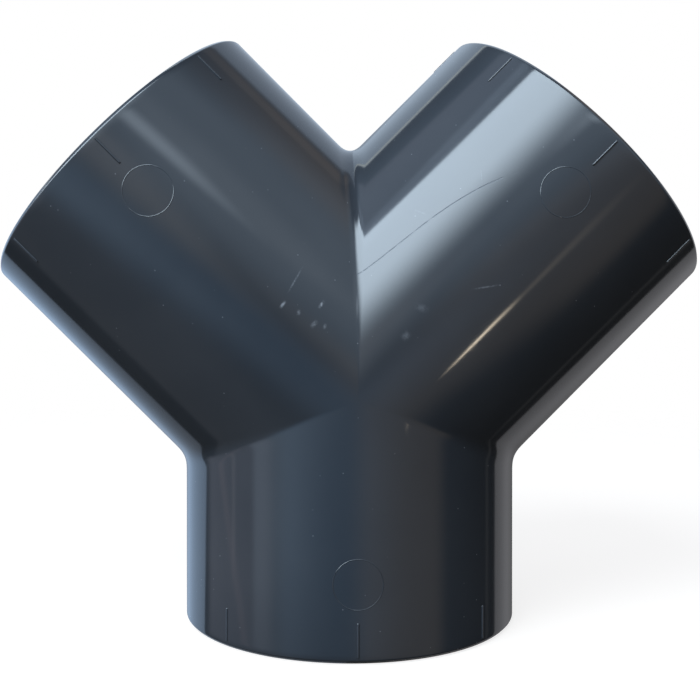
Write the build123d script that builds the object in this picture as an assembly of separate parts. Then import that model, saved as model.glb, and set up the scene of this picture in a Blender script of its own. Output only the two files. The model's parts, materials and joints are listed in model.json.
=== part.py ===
from build123d import *
import os
from math import radians, tan

# A moulded PVC-U wye for solvent-cemented pipe: one stem and two branches of equal bore, in one piece.
# Millimetres and degrees. +Z is up, the stem's mouth rests on Z = 0 round the origin, and the
# branches lean towards +X and -X, so the three axes lie in the XZ plane.

# The pipe and the socket that takes it
pipe_diameter = 110.0      # outer diameter of the pipe
film_gap = 0.1             # radial room between pipe and socket for the cement
socket_depth = 61.0        # from the rim to the ledge that stops the pipe
socket_wall = 8.4          # thickness of the plastic round a socket
stop_ledge = 4.1           # how far the ledge stands in from the socket's wall

# How the three limbs meet
branch_angle = 45.0        # between each branch and the vertical
stem_land = 0.8            # plastic between the stem's ledge and the stem's creases
branch_land = 0.5          # plastic between a branch's ledge and the crotch
crotch_fillet = 5.0        # in the crease between the two branches
shoulder_fillet = 10.0     # in the creases between the stem and the branches

# Edges, at 45 degrees
rim_chamfer = 1.2          # outer edge of each rim
mouth_chamfer = 2.0        # lead-in at each mouth

# Alignment marks: raised half-round beads that point along the limb from just behind each rim
mark_count = 8
mark_length = 11.6
mark_width = 0.8
mark_setback = 2.4         # from the rim to the near end of a bead

# What follows from them
socket_radius = pipe_diameter / 2 + film_gap
outer_radius = socket_radius + socket_wall
waterway_radius = socket_radius - stop_ledge
stem_crease = outer_radius * tan(radians(branch_angle / 2))   # from the centre to a shoulder
crotch_crease = outer_radius / tan(radians(branch_angle))     # from the centre to the crotch
stem_length = stem_crease + stem_land + socket_depth
branch_length = crotch_crease + branch_land + socket_depth

centre = Vector(0, 0, stem_length)
down = Vector(0, 0, -1)
to_right = Vector(0, 0, 1).rotate(Axis.Y, branch_angle)
to_left = Vector(0, 0, 1).rotate(Axis.Y, -branch_angle)
front = Vector(0, -1, 0)
limbs = ((down, stem_length), (to_right, branch_length), (to_left, branch_length))
seam_angle = (mark_count // 4 + 0.5) * 360 / mark_count       # from the front, midway between marks


def across(direction, distance):
    """The plane square to a limb's axis, at a distance from the centre. Round faces start and end along
    its x direction, which is kept off the front, the back and the marks."""
    seam = front.rotate(Axis((0, 0, 0), direction), seam_angle)
    return Plane(centre + direction * distance, x_dir=seam, z_dir=direction)


def own_side(direction, other, reach):
    """The half of space nearer one limb's axis than the other's: they meet on its mitre plane."""
    mitre = Plane(centre, z_dir=(direction - other).normalized())
    return mitre * Box(2 * reach, 2 * reach, reach, align=(Align.CENTER, Align.CENTER, Align.MIN))


def three_limbs(radius):
    """Three round limbs of one radius, each cut to the two mitre planes where it meets the others."""
    whole = Part()
    for direction, length in limbs:
        overlap = 2 * radius
        limb = extrude(across(direction, -overlap) * Circle(radius), length + overlap)
        for other, _ in limbs:
            if other is not direction:
                limb &= own_side(direction, other, 2 * (length + overlap))
        whole += limb
    return whole


def blended_body():
    """The outside: three mitred limbs, their creases filled by fillets that fade at front and back."""
    body = three_limbs(outer_radius)
    creases = body.edges().filter_by(GeomType.ELLIPSE)
    crotch = [edge for edge in creases if abs(edge.center().X) < rim_chamfer]
    body = fillet(crotch, crotch_fillet)
    creases = body.edges().filter_by(GeomType.ELLIPSE)
    shoulders = [edge for edge in creases if abs(edge.center().X) > outer_radius / 2]
    body = fillet(shoulders, shoulder_fillet)
    rims = [edge for edge in body.edges().filter_by(GeomType.CIRCLE) if edge.length > 6 * outer_radius]
    return chamfer(rims, rim_chamfer)


def socket_core(direction, length):
    """The space one pipe end takes, down to the ledge, with its mouth opened out."""
    mouth_radius = socket_radius + mouth_chamfer
    beyond = socket_depth + mouth_chamfer
    wall = Polyline(
        (0, 0),
        (socket_radius, 0),
        (socket_radius, socket_depth - mouth_chamfer),
        (mouth_radius, socket_depth),
        (mouth_radius, beyond),
        (0, beyond),
        close=True,
    )
    core = revolve(Plane.XZ * make_face(wall), Axis.Z)
    return across(direction, length - socket_depth) * core


def alignment_marks(direction, length):
    """Beads round one rim, each half sunk in the wall, with a round nose towards the body."""
    bead = Cylinder(mark_width / 2, mark_length, align=(Align.CENTER, Align.CENTER, Align.MAX))
    bead += Pos(0, 0, -mark_length) * Cylinder(mark_width / 2, mark_width, rotation=(0, 90, 0))
    rim = across(direction, length - mark_setback)
    places = PolarLocations(outer_radius, mark_count, start_angle=-seam_angle)
    return [rim * place * bead for place in places]


def wye():
    body = blended_body() - three_limbs(waterway_radius)
    for direction, length in limbs:
        body -= socket_core(direction, length)
        body += alignment_marks(direction, length)
    return body


os.makedirs("parts", exist_ok=True)
export_step(wye(), "parts/wye_body.step")
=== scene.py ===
# %% [markdown]
# # A moulded wye fitting for plastic pipe
# The real object is one injection moulding in dark blue-grey PVC: a stem that divides into two
# branches of the same bore. Its solid, with every size, comes from the packed CAD part. This notebook
# dresses that solid: it sets up a small studio, makes a polished plastic, works out one smooth skin for
# the moulding and lays the raised marks on it. Everything is in metres, in the part's own frame.

# %% Load the packed part as the fixed frame
import json
from math import cos, pi, radians, sin

import bmesh
import bpy
import numpy as np
from mathutils import Matrix, Vector


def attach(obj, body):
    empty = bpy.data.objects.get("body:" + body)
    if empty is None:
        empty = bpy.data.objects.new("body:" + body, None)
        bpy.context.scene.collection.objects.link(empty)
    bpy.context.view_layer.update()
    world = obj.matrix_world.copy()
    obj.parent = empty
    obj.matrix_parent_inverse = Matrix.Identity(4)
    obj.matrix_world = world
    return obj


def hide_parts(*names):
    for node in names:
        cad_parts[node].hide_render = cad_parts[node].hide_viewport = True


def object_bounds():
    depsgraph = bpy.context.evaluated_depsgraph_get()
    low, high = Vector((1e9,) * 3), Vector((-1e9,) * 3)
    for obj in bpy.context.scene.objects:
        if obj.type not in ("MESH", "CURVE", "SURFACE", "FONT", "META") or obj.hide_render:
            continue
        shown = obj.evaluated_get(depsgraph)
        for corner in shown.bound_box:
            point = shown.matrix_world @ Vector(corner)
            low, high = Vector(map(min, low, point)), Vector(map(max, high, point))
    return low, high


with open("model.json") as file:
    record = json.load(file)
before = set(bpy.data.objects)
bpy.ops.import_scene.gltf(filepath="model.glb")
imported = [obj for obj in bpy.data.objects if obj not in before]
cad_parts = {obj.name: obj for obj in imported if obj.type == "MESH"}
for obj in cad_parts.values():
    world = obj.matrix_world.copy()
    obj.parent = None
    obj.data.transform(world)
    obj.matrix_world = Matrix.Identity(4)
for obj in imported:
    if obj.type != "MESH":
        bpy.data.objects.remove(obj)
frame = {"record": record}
cad_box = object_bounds()
print("the part measures", [round(high - low, 4) for low, high in zip(*cad_box)], "m")

# %% [markdown]
# ## The sizes
# Every socket of the real fitting takes the same pipe. Its sizes could be typed in again here, but then
# the looks and the solid could drift apart. So the record's mounts say where each socket is, how wide
# and how deep, and the part's box gives the outside. Only the few sizes that the record doesn't carry,
# such as the bore of the waterway behind the stop ledge, are written out once.

# %% Read the sizes from the record and the box
MOUTH_CHAMFER = 0.002        # the lead-in at each mouth; a mount starts just behind it
MARK_RADIUS = 0.0004         # half of a raised mark's width
WATERWAY_RADIUS = 0.051      # inside the stop ledge
BACK = np.array([0.0, 1.0, 0.0])

sockets = {mount["name"].split("_")[0]: mount
           for mount in frame["record"]["mounts"] if mount["kind"] == "bore"}
SOCKET_RADIUS = sockets["stem"]["dims"]["r_mm"] / 1000
SOCKET_DEPTH = sockets["stem"]["dims"]["length_mm"] / 1000 + MOUTH_CHAMFER
OUTER_RADIUS = cad_box[1].y - MARK_RADIUS


def socket_place(name):
    """A limb's direction, and the middle of its mouth: the mount's place plus the lead-in."""
    axis = np.array(sockets[name]["axis"], float)
    axis /= np.linalg.norm(axis)
    return axis, np.array(sockets[name]["pos_m"]) + MOUTH_CHAMFER * axis


branch_axis, branch_mouth = socket_place("right")
CENTRE = branch_mouth - branch_axis * branch_mouth[0] / branch_axis[0]   # where the three axes meet
print("outer radius", round(OUTER_RADIUS, 5), "m, the axes meet at", CENTRE.round(5))

# %% [markdown]
# ## The camera
# It stands in front, level with the middle of the fitting. A long lens from far away would flatten the
# fitting. This camera is close instead, so the limbs swell a little towards the middle, and each rim is
# seen slightly from behind, which hides its mouth. A small lens shift sets the fitting in the frame
# without tilting its upright lines.

# %% Place the camera
CAMERA_PLACE = (-0.0191, -0.4001, 0.1202)
CAMERA_DOWN, CAMERA_RIGHT = 0.42, 1.865      # degrees below level, and degrees turned to the right
camera = bpy.data.objects.new("camera", bpy.data.cameras.new("camera"))
camera.location = CAMERA_PLACE
camera.rotation_euler = (radians(90 - CAMERA_DOWN), 0, radians(-CAMERA_RIGHT))
camera.data.lens = 52.19
camera.data.shift_x, camera.data.shift_y = 0.0232, -0.055
camera.data.clip_start = 0.01
bpy.context.scene.collection.objects.link(camera)
bpy.context.scene.camera = camera
bpy.context.scene.view_settings.view_transform = "Standard"
print("camera", -CAMERA_PLACE[1], "m in front of the axes, lens", round(camera.data.lens, 2), "mm")

# %% [markdown]
# ## Shader maths as Python
# A finish is a chain of small nodes. They could be added and linked by hand, one call for each node and
# each link. This class wraps one output socket instead, so that an expression such as 1 - mask * 0.5
# adds its Math nodes by itself, and one method makes every other kind of node.

# %% A socket that Python's operators work on


class Flow:
    """One output socket of a node tree. Operators on values add Math nodes."""

    def __init__(self, tree, socket=None):
        self.tree, self.socket = tree, socket

    def node(self, kind, settings=(), inputs=(), output=0):
        """Adds any node: its settings are made first, then its inputs are set or linked."""
        made = self.tree.nodes.new(kind)
        for name, value in dict(settings).items():
            setattr(made, name, value)
        for key, value in dict(inputs).items():
            if isinstance(value, Flow):
                self.tree.links.new(value.socket, made.inputs[key])
            else:
                made.inputs[key].default_value = value
        return Flow(self.tree, made.outputs[output])

    def math(self, operation, *values):
        """One Math node with that operation on these values."""
        return self.node("ShaderNodeMath", {"operation": operation}, enumerate(values))

    def __add__(self, other):
        return self.math("ADD", self, other)

    def __sub__(self, other):
        return self.math("SUBTRACT", self, other)

    def __rsub__(self, other):
        return self.math("SUBTRACT", other, self)

    def __mul__(self, other):
        return self.math("MULTIPLY", self, other)

    def __truediv__(self, other):
        return self.math("DIVIDE", self, other)

    def __rtruediv__(self, other):
        return self.math("DIVIDE", other, self)

    def __abs__(self):
        return self.math("ABSOLUTE", self)

    __radd__, __rmul__ = __add__, __mul__

    def smooth(self, low, high):
        """0 below low and 1 above high, with a soft step between; the two swapped turn it round."""
        start, end = (1, 0) if low > high else (0, 1)
        return self.node("ShaderNodeMapRange", {"interpolation_type": "SMOOTHSTEP"},
                         {"Value": self, "From Min": min(low, high), "From Max": max(low, high),
                          "To Min": start, "To Max": end})

    def dot(self, direction):
        """How far this vector reaches along a direction."""
        return self.node("ShaderNodeVectorMath", {"operation": "DOT_PRODUCT"},
                         {0: self, 1: tuple(direction)}, "Value")

    def blend(self, first, second):
        """The first colour where this value is 0, the second where it is 1."""
        return self.node("ShaderNodeMix", {"data_type": "RGBA"},
                         {"Factor": self, 6: first, 7: second}, 2)


print("besides the operators, a socket has", [name for name in vars(Flow) if not name.startswith("_")])

# %% [markdown]
# ## An empty material
# Blender gives a new material a ready-made shader. Each finish here is built from nothing, so the
# nodes are cleared and only the output is put back. Then nothing is in a tree that its cell doesn't say.

# %% Start a material


def new_material(name):
    """A material with an empty node tree, its output node, and a Flow to start expressions from."""
    material = bpy.data.materials.new(name)
    material.use_nodes = True
    material.node_tree.nodes.clear()
    output = material.node_tree.nodes.new("ShaderNodeOutputMaterial")
    print("material", name)
    return material, output, Flow(material.node_tree)


def connect(tree, shader, output):
    """Links the finished shader to the surface of a material or of the world."""
    tree.links.new(shader.socket, output.inputs["Surface"])


# %% [markdown]
# ## The world
# Round the fitting is a plain white room. A white world would also flood the plastic with light and wash
# its colour out. So the world is white only where it is looked at, directly, in a gloss or through
# something clear, and dim as a light. The fill is cooler and stronger from above on the left, where the
# window of the room is, and warm and faint from below on the right.

# %% Make the world
WHITE, BLACK = (1.0, 1.0, 1.0, 1.0), (0.0, 0.0, 0.0, 1.0)
FILL_DIM, FILL_BRIGHT = (0.062, 0.040, 0.024, 1.0), (0.42, 0.50, 0.62, 1.0)
FILL_WAY = (-0.6, 0.15, 0.75)          # towards the bright side


def seen_directly(flow):
    """1 for what the camera, a gloss or a clear piece sees, 0 for light that only fills."""
    rays = [flow.node("ShaderNodeLightPath", output=name)
            for name in ("Is Camera Ray", "Is Glossy Ray", "Is Transmission Ray")]
    return flow.math("MAXIMUM", flow.math("MAXIMUM", rays[0], rays[1]), rays[2])


world = bpy.data.worlds.new("studio")
world.use_nodes = True
world.node_tree.nodes.clear()
air = Flow(world.node_tree)
sky_way = air.node("ShaderNodeTexCoord", output="Generated")
fill = sky_way.dot(FILL_WAY).smooth(-0.9, 0.9).blend(FILL_DIM, FILL_BRIGHT)
room_light = air.node("ShaderNodeBackground", inputs={"Color": seen_directly(air).blend(fill, WHITE)})
connect(world.node_tree, room_light, world.node_tree.nodes.new("ShaderNodeOutputWorld"))
bpy.context.scene.world = world
print("world fill from", FILL_DIM[:3], "to", FILL_BRIGHT[:3])

# %% [markdown]
# ## The floor
# The fitting stands on white paper. Paper that is white under this light would throw a lot of light up
# under the branches, so the paper is a dull, warm one, and it glows only where it is looked at: that
# makes it white, and the fitting's shadow stays on it. Its edge fades out, so that no horizon shows.
# It stays out of the plastic's gloss, because the light tent further on has its own panels down there.
# Its mask still counts a gloss as looking, so that the white is right if it is ever shown to one.

# %% Lay the floor
FLOOR_REACH, FLOOR_DROP, FLOOR_SIDES = 0.9, 0.0002, 96
FADE_START, FADE_END = 0.25, 0.85
PAPER_FILL, PAPER_SEEN = (0.18, 0.14, 0.10, 1.0), (0.36, 0.31, 0.27, 1.0)
PAPER_GLOW = (0.80, 0.80, 0.80, 1.0)


def floor_material():
    """Paper that glows where it is looked at, and turns clear between two distances from the middle."""
    material, output, flow = new_material("pale_floor")
    place = flow.node("ShaderNodeTexCoord", output="Object")
    distance = flow.node("ShaderNodeVectorMath", {"operation": "LENGTH"}, {0: place}, "Value")
    seen = seen_directly(flow)
    paper = flow.node("ShaderNodeBsdfDiffuse", inputs={"Color": seen.blend(PAPER_FILL, PAPER_SEEN)})
    glow = flow.node("ShaderNodeEmission", inputs={"Color": seen.blend(BLACK, PAPER_GLOW)})
    paper = flow.node("ShaderNodeAddShader", inputs={0: paper, 1: glow})
    clear = flow.node("ShaderNodeBsdfTransparent")
    surface = flow.node("ShaderNodeMixShader",
                        inputs={0: distance.smooth(FADE_START, FADE_END), 1: paper, 2: clear})
    connect(material.node_tree, surface, output)
    return material


turn = np.linspace(0, 2 * pi, FLOOR_SIDES, endpoint=False)
edge = np.stack([FLOOR_REACH * np.cos(turn), FLOOR_REACH * np.sin(turn),
                 np.full(FLOOR_SIDES, -FLOOR_DROP)], 1)
floor_mesh = bpy.data.meshes.new("floor")
floor_mesh.from_pydata(edge.tolist(), [], [list(range(FLOOR_SIDES))])
floor_mesh.materials.append(floor_material())
floor = bpy.data.objects.new("floor", floor_mesh)
floor.visible_glossy = False
bpy.context.scene.collection.objects.link(floor)
print("floor", 2 * FLOOR_REACH, "m across")

# %% [markdown]
# ## The window light
# One large soft lamp stands high on the left and gives the plastic its colour and the fitting its
# shadow. A sun would draw a hard shadow, and a point lamp a small glint. An area lamp as wide as a window
# does neither. It is hidden from gloss, where the tent's painted window takes its place.

# %% Hang the window light
WINDOW_BEARING, WINDOW_DISTANCE, WINDOW_ROLL = (-37, 44), 1.6, 35
WINDOW_SIZE, WINDOW_RADIANCE = (1.10, 0.62), 9.3


def look_direction(azimuth, elevation):
    """From the fitting towards a bearing: azimuth 0 is the camera's side, 90 the right."""
    a, e = radians(azimuth), radians(elevation)
    return Vector((sin(a) * cos(e), -cos(a) * cos(e), sin(e)))


way = look_direction(*WINDOW_BEARING)
facing = way.to_track_quat("Z", "Y").to_matrix() @ Matrix.Rotation(radians(WINDOW_ROLL), 3, "Z")
lamp = bpy.data.lights.new("window_light", "AREA")
lamp.shape = "RECTANGLE"
lamp.size, lamp.size_y = WINDOW_SIZE
lamp.energy = WINDOW_RADIANCE * pi * WINDOW_SIZE[0] * WINDOW_SIZE[1]   # radiance times pi times area
lamp.color = (0.82, 0.99, 1.15)
window_light = bpy.data.objects.new("window_light", lamp)
window_light.location = Vector(CENTRE) + way * WINDOW_DISTANCE
window_light.rotation_euler = facing.to_euler()
window_light.visible_camera = window_light.visible_glossy = False
bpy.context.scene.collection.objects.link(window_light)
print("window light", round(lamp.energy, 1), "W at", [round(x, 2) for x in window_light.location])

# %% [markdown]
# ## The light tent
# A polished dark plastic shows mostly what it mirrors, so a studio hangs panels all round it, out of the
# camera's sight. Twenty lamps could do the same, at a cost in time and in stray light. Here the panels
# are painted on the inside of one large sphere: each is a patch with soft or hard edges, given by its
# bearing, its height and its colour. The tent shows only in polished surfaces and lights nothing.

# %% List the panels
TENT_DARK = (0.03, 0.03, 0.03, 1.0)
TENT_WINDOW = (8.0, 9.6, 11.0, 1.0)
FAR = None                   # a side left open
# Each panel: its name; its bearings in degrees, where its left edge starts and is full and where its right
# edge begins to end and has ended; the same four for its height; how far it leans to the right for each
# degree of height; and its colour
PANELS = (
    ("sheet behind, left", (FAR, FAR, -114.5, -113), (FAR, FAR, 15, 25), 0.32, (0.30, 0.36, 0.45)),
    ("its bright part", (-166, -144, -114.5, -113), (-40, -12, 15, 25), 0.32, (0.33, 0.51, 0.76)),
    ("sheet above it", (-200, -116, -83, -81), (16, 26, FAR, FAR), -1.2, (0.86, 1.06, 1.30)),
    ("its lit edge", (-88, -86, -84, -82), (16, 26, FAR, FAR), -1.2, (0.90, 0.85, 0.55)),
    ("sheet behind, right", (114, 116, FAR, FAR), (FAR, FAR, FAR, FAR), 0.0, (0.12, 0.12, 0.125)),
    ("its bright part", (114, 116, 130, 158), (FAR, FAR, 20, 40), 0.0, (0.33, 0.33, 0.35)),
    ("sheet above it", (130, 138, FAR, FAR), (4, 18, FAR, FAR), 0.0, (0.40, 0.51, 0.66)),
    ("wall beside the window", (-72, -66, -50, -6), (-26, -12, 60, 80), 0.0, (0.43, 0.55, 0.69)),
    ("ceiling in front", (-22, 4, 44, 128), (-4, 22, 51, 66), 0.0, (0.70, 0.88, 1.08)),
    ("its pale corner", (-34, -16, -12, 2), (-8, 6, 12, 22), 0.0, (0.63, 0.65, 0.68)),
    ("warm wall, right", (60, 88, 122, 134), (30, 40, 48, 66), 0.0, (0.24, 0.15, 0.06)),
    ("edge of a card", (102, 104, 105, 107), (-44, -38, 10, 20), 0.0, (0.09, 0.09, 0.09)),
    ("window bar", (-89, -87.5, -86, -84.5), (-17, -13, 0, 5), 0.0, (0.26, 0.24, 0.24)),
    ("soft lamp", (-4, 6, 8, 20), (22.3, 27.3, 28, 34), 0.0, (1.70, 2.00, 2.30)),
    ("the lamp's glow", (4, 18, 24, 44), (20, 28, 34, 46), 0.0, (0.28, 0.31, 0.34)),
    ("blue floor in front", (-60, -40, -10, 40), (-32, -13, -8, 4), 0.0, (0.12, 0.25, 0.43)),
    ("brown wall, right", (-6, 14, 54, 68), (-34, -22, 4, 14), 0.0, (0.30, 0.24, 0.18)),
    ("bench on the left", (-106, -98, -50, -20), (-60, -45, -26, -16), 0.0, (0.14, 0.15, 0.17)),
    ("shaded wall, left", (-118, -108, -62, -50), (-25, -16, 60, 80), 0.0, (0.36, 0.38, 0.46)),
    ("slanting lath", (-124, -121, -120, -115), (-24, -18, -9, -4), -2.2, (0.22, 0.16, 0.16)),
    ("upper wall, left", (-150, -84, -60, -50), (30, 46, 70, 85), 0.0, (0.28, 0.40, 0.53)),
)
print("a window and", len(PANELS), "panels:", "; ".join(name for name, *_ in PANELS))

# %% [markdown]
# ## The tent's paint
# The way from the middle of the tent to each point gives a bearing and a height, both in degrees. A patch
# is a trapezoid in the one times a trapezoid in the other, and the patches are added up over a dark
# ground. A picture of a real room would do as well, but no file is read here.

# %% Paint the tent


def trapezoid(value, start, full, ebb, end):
    """0 up to start, 1 between full and ebb, 0 again past end, with smooth slopes; a side may be open."""
    rise = 1.0 if start is FAR else value.smooth(start, full)
    return rise if end is FAR else value.smooth(end, ebb) * rise


def tent_material():
    """The bearing is the arc tangent of x over -y, and the height the arc sine of z, on a unit vector.
    Each patch adds its colour, times its mask, to what is there."""
    material, output, flow = new_material("light_tent")
    place = flow.node("ShaderNodeTexCoord", output="Object")
    way = flow.node("ShaderNodeVectorMath", {"operation": "NORMALIZE"}, {0: place})
    azimuth = flow.math("ARCTAN2", way.dot((1, 0, 0)), way.dot((0, -1, 0))) * (180 / pi)
    height = flow.math("ARCSINE", way.dot((0, 0, 1))) * (180 / pi)
    # The window leans with the roof slope and ends below the ridge
    window = trapezoid(azimuth - height, -110, -107.5, -66, -22) * trapezoid(height, 2, 16, 61, 68)
    light = window.blend(TENT_DARK, TENT_WINDOW)
    for _, bearings, heights, lean, colour in PANELS:
        mask = trapezoid(azimuth - height * lean if lean else azimuth, *bearings)
        mask = mask * trapezoid(height, *heights)
        light = flow.node("ShaderNodeMix", {"data_type": "RGBA", "blend_type": "ADD", "clamp_factor": True},
                          {"Factor": mask, 6: light, 7: (*colour, 1)}, 2)
    connect(material.node_tree, flow.node("ShaderNodeEmission", inputs={"Color": light}), output)
    return material


tent_paint = tent_material()
print(len(tent_paint.node_tree.nodes), "nodes in the tent's paint")

# %% [markdown]
# ## Hanging the tent
# The world could carry this paint, but it already carries the white room. So a sphere hangs inside the
# room, and it is switched off for every ray but those of a gloss, which then never reach the white. With
# a radius of three metres, the mirrored panels stay put along a limb.

# %% Hang the tent
TENT_RADIUS = 3.0


def gloss_only(thing):
    """Leaves an object visible in polished surfaces and nowhere else."""
    thing.visible_camera = thing.visible_diffuse = thing.visible_shadow = thing.visible_transmission = False


tent_shape = bmesh.new()
bmesh.ops.create_uvsphere(tent_shape, u_segments=64, v_segments=32, radius=TENT_RADIUS)
tent_mesh = bpy.data.meshes.new("light_tent")
tent_shape.to_mesh(tent_mesh)
tent_shape.free()
tent_mesh.materials.append(tent_paint)
tent = bpy.data.objects.new("light_tent", tent_mesh)
tent.location = CENTRE
gloss_only(tent)
bpy.context.scene.collection.objects.link(tent)
print("tent", len(tent_mesh.polygons), "faces")

# %% [markdown]
# ## The bright strip
# A thin warm glint runs up the right branch. On the tent, three metres away, a strip would mirror as a
# streak along the whole limb. A real one close by mirrors short. So a small glowing card stands beside
# the branch: bright and narrow low down, faint and wide above, and clear where it doesn't glow, so that
# it hides nothing of the tent.

# %% Stand the strip beside the right branch
STRIP_LENGTH, STRIP_NARROW, STRIP_WIDE = 0.118, 0.0012, 0.0075
STRIP_PLACE, STRIP_SLANT = (0.0974, -0.1184, 0.1104), (0.695, 0.024, 0.718)
STRIP_LIGHT = (26.0, 22.4, 17.2, 1.0)
STRIP_FACES = CENTRE + 0.09 * branch_axis        # the place on the branch that it faces


def strip_material():
    """Along the card counts from 0 at its foot to 1. The glow is a profile across the card, 1 on its middle
    line and 0 at the reach it has at that height, times a fade along it."""
    material, output, flow = new_material("warm_strip")
    place = flow.node("ShaderNodeTexCoord", output="Object")
    along = place.dot((0, 0, 1)) / STRIP_LENGTH + 0.5
    reach = along.smooth(0.08, 0.90) * (STRIP_WIDE - STRIP_NARROW) + STRIP_NARROW
    profile = (abs(place.dot((1, 0, 0))) / reach).smooth(1, 0)
    fade = along.smooth(0.0, 0.18) * (along.smooth(0.43, 0.16) * 0.95 + along.smooth(1.1, 0.3) * 0.032)
    glow = flow.node("ShaderNodeEmission", inputs={"Color": (profile * fade).blend(BLACK, STRIP_LIGHT)})
    clear = flow.node("ShaderNodeBsdfTransparent")
    connect(material.node_tree, flow.node("ShaderNodeAddShader", inputs={0: clear, 1: glow}), output)
    return material


corners = [(x * STRIP_WIDE, 0, z * STRIP_LENGTH / 2) for x, z in ((-1, -1), (1, -1), (1, 1), (-1, 1))]
strip_mesh = bpy.data.meshes.new("warm_strip")
strip_mesh.from_pydata(corners, [], [(0, 1, 2, 3)])
strip_mesh.materials.append(strip_material())
strip = bpy.data.objects.new("warm_strip", strip_mesh)
upward = Vector(STRIP_SLANT).normalized()
across = upward.cross(Vector(STRIP_FACES) - Vector(STRIP_PLACE)).normalized()
strip.location = STRIP_PLACE
strip.rotation_euler = Matrix((across, upward.cross(across), upward)).transposed().to_euler()
gloss_only(strip)
bpy.context.scene.collection.objects.link(strip)
print("strip", STRIP_LENGTH, "m long")

# %% [markdown]
# ## Where the wear is
# A fitting picks up rubs and hair scratches in its box. They could be drawn as a picture on a UV map.
# Here each is a mask worked out in a limb's own chart: metres along the limb from the middle, and metres
# round it from its front. So a mark is given as a fitter would measure it with a tape, and bends with
# the wall.

# %% Chart a limb
AXES = {name: Vector(socket_place(name)[0]) for name in sockets}
MM = 0.001


def limb_chart(flow, place, name):
    """Metres along a limb from the middle, metres round it from its front, which is the angle times the
    outer radius, and 1 where the point reaches farther along this limb than along the others."""
    from_centre = flow.node("ShaderNodeVectorMath", {"operation": "SUBTRACT"},
                            {0: place, 1: tuple(CENTRE)})
    reach = {limb: from_centre.dot(axis) for limb, axis in AXES.items()}
    side = AXES[name].cross(Vector((0, -1, 0)))
    around = flow.math("ARCTAN2", from_centre.dot(side), from_centre.dot((0, -1, 0))) * OUTER_RADIUS
    here = 1.0
    for limb in AXES:
        if limb != name:
            here = flow.math("GREATER_THAN", reach[name], reach[limb]) * here
    return reach[name], around, here


def stroke(chart, middle, length, width, slant):
    """A short mark: its middle along and round the limb, its size, and its turn from the limb's line."""
    along, around, here = chart
    turn = radians(slant)
    dx, dy = along - middle[0] * MM, around - middle[1] * MM
    lengthwise = abs(dx * cos(turn) + dy * sin(turn))
    crosswise = abs(dy * cos(turn) - dx * sin(turn))
    return lengthwise.smooth(length * MM / 2, 0) * crosswise.smooth(width * MM / 2, 0) * here


def union(first, second):
    """The stronger of two masks at each point."""
    return first.math("MAXIMUM", first, second)


print("limbs to chart:", ", ".join(AXES))

# %% [markdown]
# ## Rubs
# Where another fitting has knocked against this one, the polish is broken and a little pale dust holds.
# Each rub is one soft stroke. A fine noise breaks them up, because a real scuff isn't even.

# %% List the rubs and draw them
# Each rub: its limb, millimetres along and round, length, width, slant in degrees, and strength
RUBS = (
    ("left", 43.2, 13.8, 12.0, 0.9, -105, 0.40),
    ("left", 40.3, 4.9, 3.6, 1.5, -98, 0.85),
    ("left", 31.2, 14.1, 3.8, 1.5, -97, 0.85),
    ("left", 34.7, 6.7, 2.6, 1.8, -116, 0.40),
    ("left", 28.4, 7.7, 3.8, 2.2, -90, 0.40),
    ("left", 25.3, 9.6, 2.6, 1.6, -116, 0.35),
    ("right", 82.9, -24.2, 6.0, 0.8, 131, 0.15),
    ("right", 60.0, -30.8, 5.6, 1.0, 72, 0.15),
    ("right", 56.9, 3.5, 11.0, 0.9, 36, 0.30),
    ("right", 26.5, -4.0, 4.4, 3.8, 0, 0.20),
    ("right", 36.8, -6.7, 6.0, 3.6, 60, 0.14),
)


def noise(flow, place, scale, detail=2.0):
    """A soft noise between 0 and 1, its scale in cells per metre."""
    return flow.node("ShaderNodeTexNoise",
                     inputs={"Vector": place, "Scale": scale, "Detail": detail, "Roughness": 0.5})


def rub_mask(flow, place, charts):
    """The strongest of all strokes at each point, broken up by a fine noise."""
    rubs = None
    for limb, *middle, length, width, slant, strength in RUBS:
        mark = stroke(charts[limb], middle, length, width, slant) * strength
        rubs = mark if rubs is None else union(rubs, mark)
    return rubs * noise(flow, place, 1400.0).smooth(0.25, 0.60)


print(len(RUBS), "rubs")

# %% [markdown]
# ## A hair scratch and dust
# One long scratch, as thin as a hair, wanders up the right branch. It is the set of points near a curve
# in the limb's chart, and a cubic bends enough for it. The dust is a scatter of tiny balls: Voronoi cells
# give each grain a place, and a random colour of the cell picks the few cells that hold one.

# %% Draw the scratch and the dust
HAIR_MIDDLE, HAIR_SPAN = 0.060, 0.030
HAIR_EDGE, HAIR_CORE = 0.00022, 0.00006
DUST_CELLS = 400.0


def hair_mask(flow, place, chart):
    """Near the course, in millimetres round the limb: 1.9 t cubed + 2.4 t squared + 4.85 t - 26.3, where
    t is how far along the scratch is from its middle, in spans."""
    along, around, here = chart
    t = (along - HAIR_MIDDLE) / HAIR_SPAN
    course = (((t * 1.9 + 2.4) * t + 4.85) * t - 26.3) * MM
    broken = noise(flow, place, 500.0).smooth(0.30, 0.45)
    line = abs(around - course).smooth(HAIR_EDGE, HAIR_CORE)
    return line * along.smooth(0.026, 0.030) * along.smooth(0.094, 0.086) * here * broken


def dust_mask(flow, place):
    """Small balls round the points of the cells whose random number is high."""
    cells = {"Vector": place, "Scale": DUST_CELLS}
    distance = flow.node("ShaderNodeTexVoronoi", {"feature": "F1"}, cells)
    chance = flow.node("ShaderNodeTexVoronoi", {"feature": "F1"}, cells, "Color").dot((1, 0, 0))
    return distance.smooth(0.11, 0.05) * chance.smooth(0.90, 0.96)


print("scratch", round(2 * HAIR_CORE / MM, 2), "mm wide")

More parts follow.
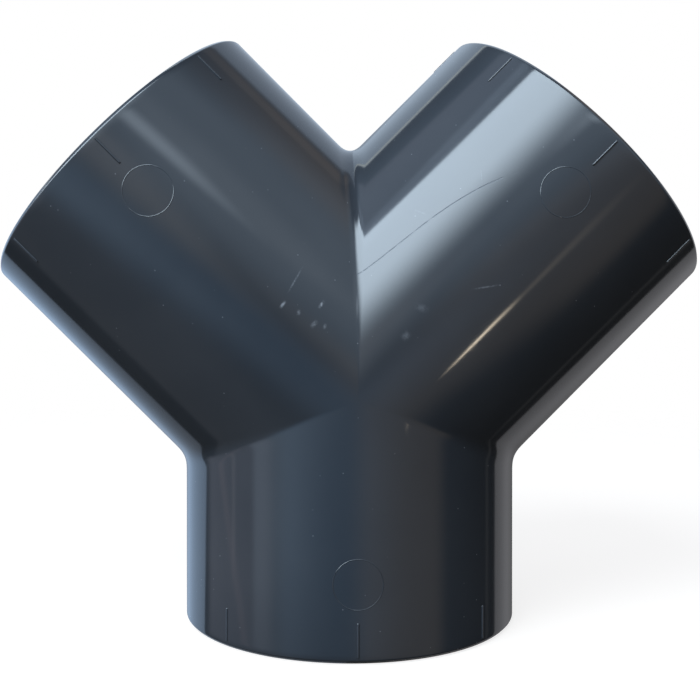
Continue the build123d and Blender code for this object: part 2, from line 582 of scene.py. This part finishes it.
# %% [markdown]
# ## The plastic
# Moulded PVC is one colour all through, with a polish from the mould. A flat colour would look like a
# drawing of it. What makes it real is small: a faint clouding of the grey, a polish that ripples by a few
# hundredths of a millimetre, a fine grain, and the wear. The masks feed colour, roughness and bump only,
# and everything else is a plain number on the shader.

# %% Make the plastic
PLASTIC, PLASTIC_CLOUD = (0.040, 0.046, 0.055, 1.0), (0.046, 0.052, 0.061, 1.0)
DUST = (0.42, 0.44, 0.47, 1.0)
RIPPLE_HEIGHT, GRAIN_HEIGHT, HAIR_DEPTH = 0.00004, 0.0000005, 0.00002


def plastic_material():
    """The marks turn the plastic's colour to dust. The roughness is 0.07, up to 0.04 more in the clouds and
    0.45 more in the marks. The height is ripple plus grain less the scratch."""
    material, output, flow = new_material("moulded_pvc")
    place = flow.node("ShaderNodeTexCoord", output="Object")
    cloud = noise(flow, place, 24.0, 3.0)
    ripple = noise(flow, place, 34.0, 1.0)
    grain = noise(flow, place, 900.0)
    charts = {name: limb_chart(flow, place, name) for name in AXES}
    hair = hair_mask(flow, place, charts["right"])
    marks = union(rub_mask(flow, place, charts), dust_mask(flow, place) * 0.4)
    colour = marks.blend(cloud.smooth(0.35, 0.65).blend(PLASTIC, PLASTIC_CLOUD), DUST)
    height = ripple * RIPPLE_HEIGHT + grain * GRAIN_HEIGHT - hair * HAIR_DEPTH
    bump = flow.node("ShaderNodeBump", inputs={"Strength": 1.0, "Distance": 1.0, "Height": height})
    rough = 0.07 + cloud * 0.04 + union(marks, hair) * 0.45
    shader = flow.node("ShaderNodeBsdfPrincipled", inputs={
        "Base Color": colour, "Roughness": rough, "IOR": 1.54, "Normal": bump})
    connect(material.node_tree, shader, output)
    return material


plastic = plastic_material()
print(len(plastic.node_tree.nodes), "nodes in the plastic")

# %% [markdown]
# ## Surfaces from arrays
# Each piece could be modelled with Blender's own tools and joined. But the creases of this fitting follow
# exact curves, and a surface that is worked out can follow them exactly. So a surface here is a function
# of two parameters, worked out for a whole grid at once and handed to the mesh as arrays. A grid goes
# round, so its last column joins its first.

# %% Turn grids into meshes
SHARP_ANGLE = 40.0


def grid_faces(rows, columns, first, ring):
    """Quads of a grid: each joins a point, the next one round, and the two in the row above. In a ring
    the last row joins the first."""
    row, column = np.meshgrid(np.arange(rows if ring else rows - 1), np.arange(columns), indexing="ij")
    above, beside = (row + 1) % rows, (column + 1) % columns
    return first + np.stack([row * columns + column, row * columns + beside,
                             above * columns + beside, above * columns + column], -1).reshape(-1, 4)


def build_piece(name, grids, material, ring=False, merge=0.0):
    """Makes one object of equal grids, welds points that coincide, turns its faces outwards and smooths
    it between sharp corners."""
    count, rows, columns, _ = grids.shape
    faces = np.concatenate([grid_faces(rows, columns, k * rows * columns, ring) for k in range(count)])
    mesh = bpy.data.meshes.new(name)
    mesh.from_pydata(grids.reshape(-1, 3).tolist(), [], faces.tolist())
    shape = bmesh.new()
    shape.from_mesh(mesh)
    if merge:
        bmesh.ops.remove_doubles(shape, verts=shape.verts, dist=merge)
    bmesh.ops.recalc_face_normals(shape, faces=shape.faces)
    if shape.calc_volume(signed=True) < 0:
        bmesh.ops.reverse_faces(shape, faces=shape.faces)
    loose = sum(not edge.is_manifold for edge in shape.edges)
    triangles = sum(len(face.verts) - 2 for face in shape.faces)
    shape.to_mesh(mesh)
    shape.free()
    mesh.shade_smooth()
    mesh.set_sharp_from_angle(angle=radians(SHARP_ANGLE))
    mesh.materials.append(material)
    piece = bpy.data.objects.new(name, mesh)
    bpy.context.scene.collection.objects.link(piece)
    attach(piece, "root")
    print(name, triangles, "triangles,", loose, "open edges")
    return piece


# %% [markdown]
# ## The rim's edge
# The outer edge of each rim is bevelled at 45 degrees, as on the moulding. A plain bevel has knife-sharp
# corners that no mould leaves, and a fully rounded edge would reach past the part's box. So the bevel
# stays, and each of its two corners is eased by a short parabola.

# %% Work out the rim's edge
RIM_CHAMFER = 0.0012         # outer edge of each rim, at 45 degrees
EDGE_EASE = 0.0004           # how far each corner of that bevel is eased


def eased(before, corner, after):
    """Points of the parabola that touches both sides of a corner one ease away from it: (1-t)^2 times
    its start + 2t(1-t) times the corner + t^2 times its stop."""
    before, corner, after = (np.array(point, float) for point in (before, corner, after))
    start = corner + (before - corner) * EDGE_EASE / np.linalg.norm(before - corner)
    stop = corner + (after - corner) * EDGE_EASE / np.linalg.norm(after - corner)
    return [(1 - t) ** 2 * start + 2 * t * (1 - t) * corner + t ** 2 * stop for t in np.linspace(0, 1, 5)]


# Each corner as how far it lies in from the wall and back from the rim's face
WALL_END, FACE_START = (0, RIM_CHAMFER), (RIM_CHAMFER, 0)
RIM_CORNERS = (eased((0, 1), WALL_END, FACE_START) + eased(WALL_END, FACE_START, (1, 0)))[1:]
print(len(RIM_CORNERS), "points across the rim's edge")

# %% [markdown]
# ## The creases
# Two tubes of one size meet on a plane, the mitre. In the mould the crease is rounded, as if a ball had
# rolled along it and touched both tubes. A bevel tool can't follow this crease, because the tubes become
# tangent at the front and at the back, where the blend narrows to nothing. Worked out, it does so by
# itself. A plain ball's blend starts and ends with a jump in its bend, which a polish shows as a hard line
# in the reflections. So the bend is made to grow evenly over a short way, half of it on the wall.

# %% Work out a crease
ROUND = 360                  # columns round a limb
CROTCH_ROUND = 0.005         # the ball in the crease between the branches
SHOULDER_ROUND = 0.010       # the ball in the creases between stem and branches
BLEND_EASE = 0.6             # the ease reaches this share of a blend's arc to each side of its edge
MEETINGS = {"stem": (("right", SHOULDER_ROUND), ("left", SHOULDER_ROUND)),
            "right": (("left", CROTCH_ROUND), ("stem", SHOULDER_ROUND)),
            "left": (("right", CROTCH_ROUND), ("stem", SHOULDER_ROUND))}
angle = np.linspace(0, 2 * pi, ROUND, endpoint=False)


def unit(vectors):
    """Each vector over its own length."""
    return vectors / np.linalg.norm(vectors, axis=-1, keepdims=True)


def angle_between(first, second):
    """The arc cosine of the dot product of two unit vectors, row by row."""
    return np.arccos(np.clip((first * second).sum(1, keepdims=True), -1, 1))


def crease_fields(axis, side, around, neighbours):
    """For every column: its ball, the cotangent of half the angle between the limbs, and the direction
    halfway from e to the neighbour's e, which is e less its part along the difference of the axes."""
    ball, spread, halfway = np.zeros((ROUND, 1)), np.zeros((ROUND, 1)), np.zeros((ROUND, 3))
    for other, round_size in neighbours:
        other_axis = socket_place(other)[0]
        here = (np.cos(angle) * (side @ other_axis) >= 0)[:, None]
        mirror = unit(axis - other_axis)
        ball = np.where(here, round_size, ball)
        spread = np.where(here, 1 / np.tan(np.arccos(axis @ other_axis) / 2), spread)
        halfway = np.where(here, unit(around - (around @ mirror)[:, None] * mirror), halfway)
    return ball, spread, halfway


def swell(gap, ease, ball):
    """How far the ease lifts the wall, at a gap before the line where a plain ball would leave it:
    (ease - gap) cubed / (12 * ease * ball), and nothing beyond the ease."""
    return np.maximum(ease - gap, 0) ** 3 / (12 * ease * ball + 1e-12)


def blend_rows(middle, around, halfway, ball, ease):
    """The blend from the mitre plane to the wall: the ball's middle less a reach times a way that turns
    from halfway to e. The reach is ball - ease squared / (6 * ball) + swell, so that the ball's side and
    the wall's side have the same height, slope and bend where they meet."""
    rows = []
    for t in np.linspace(0, 1, 13):
        way = unit((1 - t) * halfway + t * around)
        gap = ball * angle_between(way, around)
        rows.append(middle - (ball - ease ** 2 / (6 * ball) + swell(gap, ease, ball)) * way)
    return rows


print("balls", CROTCH_ROUND / MM, "and", SHOULDER_ROUND / MM, "mm")

# %% [markdown]
# ## One limb's skin
# A limb of the moulding is a tube with a thick wall, a rim, a socket for the pipe, a ledge that stops the
# pipe and a waterway behind it. Cylinders cut from each other would give it too, with ragged seams that a
# polish shows. Here all of it is one surface: the rows start on the mitre plane outside, run over the rim
# and end on the mitre plane inside, where they meet the neighbour's rows.

# %% Work out a limb
EASE_ROWS = (0.12, 0.25, 0.4, 0.6, 0.8, 1.0)
WALL_ROWS = (0.01, 0.04, 0.12, 0.25, 0.4, 0.55, 0.7, 0.82, 0.92, 0.98, 1.0)
WATERWAY_ROWS = (0.02, 0.3, 0.65, 1.0)
CORNER_STRIP, LIP_STRIP = 0.0005, 0.0002     # narrow rows that keep a corner's shading tight


def inside_profile(length):
    """The socket as radius and place along: the mouth's lip, the lead-in, the wall, the ledge."""
    ledge, lip, lead_in = length - SOCKET_DEPTH, SOCKET_RADIUS + MOUTH_CHAMFER, length - MOUTH_CHAMFER
    return [(lip + LIP_STRIP, length), (lip, length), (SOCKET_RADIUS, lead_in),
            (SOCKET_RADIUS, lead_in - CORNER_STRIP), (SOCKET_RADIUS, (length + ledge) / 2),
            (SOCKET_RADIUS, ledge + CORNER_STRIP), (SOCKET_RADIUS, ledge), (WATERWAY_RADIUS, ledge)]


def limb_rows(name, neighbours):
    """One limb's skin. A column at an angle lies in the direction e = cosine times side + sine times back.
    The mitre plane crosses a tube at radius * |cosine| * cotangent of half the angle between the limbs.
    The ball's middle lies at (radius + ball) * e, as far along as that rule gives for radius + ball."""
    axis, mouth = socket_place(name)
    side = np.cross(BACK, axis)
    length = float((mouth - CENTRE) @ axis)
    around = np.cos(angle)[:, None] * side + np.sin(angle)[:, None] * BACK
    ball, spread, halfway = crease_fields(axis, side, around, neighbours)
    mitre = np.abs(np.cos(angle))[:, None] * spread
    contact = (OUTER_RADIUS + ball) * mitre
    ease = BLEND_EASE * ball * angle_between(around, halfway)

    def tube(radius, along):
        return CENTRE + radius * around + along * axis

    rows = blend_rows(tube(OUTER_RADIUS + ball, contact), around, halfway, ball, ease)
    rows += [tube(OUTER_RADIUS + swell(t * ease, ease, ball), contact + t * ease) for t in EASE_ROWS]
    start, end = contact + ease, length - RIM_CHAMFER - EDGE_EASE
    rows += [tube(OUTER_RADIUS, start + t * (end - start)) for t in WALL_ROWS]
    rows += [tube(OUTER_RADIUS - sunk, length - back) for sunk, back in RIM_CORNERS]
    rows += [tube(radius, along) for radius, along in inside_profile(length)]
    ledge = length - SOCKET_DEPTH
    rows += [tube(WATERWAY_RADIUS, ledge + t * (WATERWAY_RADIUS * mitre - ledge)) for t in WATERWAY_ROWS]
    return np.stack(rows)


limbs = np.stack([limb_rows(name, neighbours) for name, neighbours in MEETINGS.items()])
print(limbs.shape[1], "rows of", ROUND, "points for each of", len(limbs), "limbs")

# %% [markdown]
# ## The whole skin
# The three limbs share their points on the mitre planes, so welding the points that coincide closes the
# skin without a seam. The CAD solid is made of flat triangles, which show in a polish. The skin has the
# same form to a few tenths of a millimetre and stands for it.

# %% Join the three limbs into one skin
WELD = 2e-6
skin = build_piece("moulded_body", limbs, plastic, merge=WELD)
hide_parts("wye_body")

# %% [markdown]
# ## The raised marks
# Eight beads stand round each rim, one at every 45 degrees. A fitter lines them up with a mark on the
# pipe. Bump in the material would vanish at the outline, so each is a real half round, sunk to its middle
# in the wall, with a round nose towards the body.

# %% Work out the marks
MARK_COUNT, MARK_SIDES, MARK_WELD = 8, 16, 1e-6
MARK_LENGTH = 0.0116
MARK_SETBACK = 0.0024        # from the rim to the near end


def bead(axis, mouth, outwards):
    """A closed capsule: rings of radius mark * sine of the nose angle, then straight, then shut at the
    rim end."""
    turn = np.linspace(0, 2 * pi, MARK_SIDES, endpoint=False)
    nose = np.linspace(0, pi / 2, 6)
    radius = MARK_RADIUS * np.concatenate([np.sin(nose), [1, 1, 0.75, 0]])
    near, far = MARK_SETBACK, MARK_SETBACK + MARK_LENGTH
    along = np.concatenate([far + MARK_RADIUS * (np.cos(nose) - 1),
                            [near + 0.0002, near + 0.00005, near, near]])
    ring = np.cos(turn)[:, None] * outwards + np.sin(turn)[:, None] * np.cross(axis, outwards)
    return mouth + OUTER_RADIUS * outwards + radius[:, None, None] * ring - along[:, None, None] * axis


beads = []
for name in sockets:
    axis, mouth = socket_place(name)
    side = np.cross(BACK, axis)
    for spin in np.arange(MARK_COUNT) * 2 * pi / MARK_COUNT:
        beads.append(bead(axis, mouth, cos(spin) * side + sin(spin) * BACK))
build_piece("alignment_marks", np.stack(beads), plastic, merge=MARK_WELD)

# %% [markdown]
# ## The witness rings
# A hair-thin ring stands on the front of each limb, where a round pin of the mould met the skin. A torus
# laid flat would float off the curved wall at its sides. This one is bent to the wall: a circle drawn on
# the tube as if it were unrolled, with a small round section.

# %% Work out the rings
RING_RADIUS = 0.0085
RING_THREAD = 0.00016        # radius of the section
RING_SETBACK = 0.0267        # from the rim to the ring's middle
RING_SUNK = 0.3              # share of the thread's radius by which it lies deeper than a half round
RING_STEPS, RING_SIDES = 120, 8


def witness_ring(name):
    """A point's sideways reach on the circle becomes an arc round the limb, and its other reach runs along
    the axis. The section is a small circle between the wall's own direction and the circle's."""
    axis, mouth = socket_place(name)
    side = np.cross(BACK, axis)
    turn = np.linspace(0, 2 * pi, RING_STEPS, endpoint=False)[:, None]
    section = np.linspace(0, 2 * pi, RING_SIDES, endpoint=False)[None, :]
    reach = RING_RADIUS + RING_THREAD * np.cos(section)
    lift = OUTER_RADIUS + RING_THREAD * (np.sin(section) - RING_SUNK)
    bend = reach * np.cos(turn) / OUTER_RADIUS
    along = reach * np.sin(turn) - RING_SETBACK
    outwards = np.sin(bend)[..., None] * side - np.cos(bend)[..., None] * BACK
    return mouth + lift[..., None] * outwards + along[..., None] * axis


rings = np.stack([witness_ring(name) for name in sockets])
build_piece("witness_rings", rings, plastic, ring=True)

# %% [markdown]
# ## The outside
# The skin takes its outer radius from the part's own box, less the height of a mark, so that the raised
# marks reach the box.
